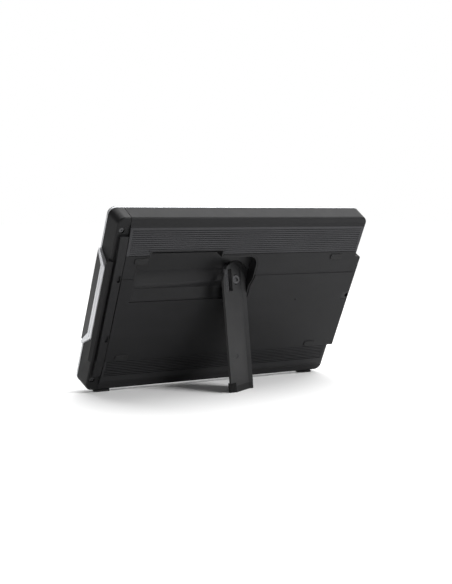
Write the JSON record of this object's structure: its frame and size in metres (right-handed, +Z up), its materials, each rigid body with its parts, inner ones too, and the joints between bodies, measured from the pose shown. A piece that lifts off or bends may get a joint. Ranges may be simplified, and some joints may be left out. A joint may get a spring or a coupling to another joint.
{
  "type": "pen drawing tablet",
  "caption": "Pen drawing tablet with screen and side keys, leaning on a swing-out rear leg that folds into its own recess.",
  "frame": {"origin": "centre of the overall extent at desk level, with the leg swung out", "axes": "+X across the tablet to the right of a person facing the screen, +Y from the screen towards the rear, +Z up"},
  "size_m": [0.4104, 0.1488, 0.2589],
  "materials": {
    "body_plastic": "fine moulded texture, charcoal",
    "strip_plastic": "fine moulded texture",
    "leg_plastic": "fine texture, slightly lighter charcoal",
    "tray_plastic": "smooth satin",
    "rubber": "matt elastomer",
    "silver": "satin silver paint",
    "panel_plastic": "black, semi gloss",
    "key_plastic": "matt black",
    "touch_plastic": "polished black",
    "glass": "etched cover glass over a dark display",
    "lens": "frosted light guide",
    "steel": "plain turned steel",
    "bush_plastic": "natural acetal",
    "sheet_metal": "pressed sheet",
    "magnesium": "cast, dull",
    "panel_stack": "display panel",
    "light_guide": "white frame",
    "board": "solder mask",
    "chip": "moulded packages",
    "socket_metal": "plated shells"
  },
  "bodies": {
    "tablet": {"backlight": "light_guide", "bezel": "panel_plastic", "board_chips": "chip", "board_standoffs": "steel", "case_screws": "steel", "chassis": "magnesium", "column_screws": "steel", "cover_glass": "glass", "display_driver": "board", "friction_washer": "steel", "hinge_bracket": "steel", "key_board_left": "board", "key_board_right": "board", "key_domes_left": "chip", "key_domes_right": "chip", "key_panel_left": "panel_plastic", "key_panel_right": "panel_plastic", "lcd_panel": "panel_stack", "lock_insert": "body_plastic", "lower_feet": "rubber", "main_board": "board", "pen_sensor_board": "board", "pivot_bush": "bush_plastic", "pivot_nut": "steel", "pivot_screw": "steel", "port_board": "board", "port_column": "body_plastic", "port_sockets": "socket_metal", "port_strip": "strip_plastic", "power_switch": "board", "rear_cover": "body_plastic", "rubber_pads": "rubber", "shield_plate": "sheet_metal", "silver_trim": "silver", "stand_tray": "tray_plastic", "status_lens": "lens", "touch_strip_left": "touch_plastic", "touch_strip_right": "touch_plastic"},
    "leg": {"stand_leg": "leg_plastic", "leg_foot": "rubber"},
    "leg_lock": {"lock_slider": "leg_plastic"},
    "power_key": {"power_button": "key_plastic"},
    "left_key_1": {"key_left_1": "key_plastic"},
    "left_key_2": {"key_left_2": "key_plastic"},
    "left_key_3": {"key_left_3": "key_plastic"},
    "left_key_4": {"key_left_4": "key_plastic"},
    "right_key_1": {"key_right_1": "key_plastic"},
    "right_key_2": {"key_right_2": "key_plastic"},
    "right_key_3": {"key_right_3": "key_plastic"},
    "right_key_4": {"key_right_4": "key_plastic"}
  },
  "joints": [
    {"name": "leg_swing", "type": "hinge", "parent": "tablet", "child": "leg", "pos_m": [0.0013, 0.03759, 0.15668], "axis": [0, 0.9973, 0.0732], "range_deg": [-92.6, 0]},
    {"name": "leg_lock_slide", "type": "slide", "parent": "leg", "child": "leg_lock", "axis": [-0.8599, -0.5105, 0.0017], "range_m": [0, 0.007], "stiffness_N_per_m": 300, "springref_m": -0.001},
    {"name": "power_press", "type": "slide", "parent": "tablet", "child": "power_key", "axis": [0, 0.8957, -0.4446], "range_m": [0, 0.001], "stiffness_N_per_m": 800, "springref_m": -0.0004},
    {"name": "left_key_1_press", "type": "slide", "parent": "tablet", "child": "left_key_1", "axis": [0, 0.8957, -0.4446], "range_m": [0, 0.001], "stiffness_N_per_m": 800, "springref_m": -0.0004},
    {"name": "left_key_2_press", "type": "slide", "parent": "tablet", "child": "left_key_2", "axis": [0, 0.8957, -0.4446], "range_m": [0, 0.001], "stiffness_N_per_m": 800, "springref_m": -0.0004},
    {"name": "left_key_3_press", "type": "slide", "parent": "tablet", "child": "left_key_3", "axis": [0, 0.8957, -0.4446], "range_m": [0, 0.001], "stiffness_N_per_m": 800, "springref_m": -0.0004},
    {"name": "left_key_4_press", "type": "slide", "parent": "tablet", "child": "left_key_4", "axis": [0, 0.8957, -0.4446], "range_m": [0, 0.001], "stiffness_N_per_m": 800, "springref_m": -0.0004},
    {"name": "right_key_1_press", "type": "slide", "parent": "tablet", "child": "right_key_1", "axis": [0, 0.8957, -0.4446], "range_m": [0, 0.001], "stiffness_N_per_m": 800, "springref_m": -0.0004},
    {"name": "right_key_2_press", "type": "slide", "parent": "tablet", "child": "right_key_2", "axis": [0, 0.8957, -0.4446], "range_m": [0, 0.001], "stiffness_N_per_m": 800, "springref_m": -0.0004},
    {"name": "right_key_3_press", "type": "slide", "parent": "tablet", "child": "right_key_3", "axis": [0, 0.8957, -0.4446], "range_m": [0, 0.001], "stiffness_N_per_m": 800, "springref_m": -0.0004},
    {"name": "right_key_4_press", "type": "slide", "parent": "tablet", "child": "right_key_4", "axis": [0, 0.8957, -0.4446], "range_m": [0, 0.001], "stiffness_N_per_m": 800, "springref_m": -0.0004}
  ]
}
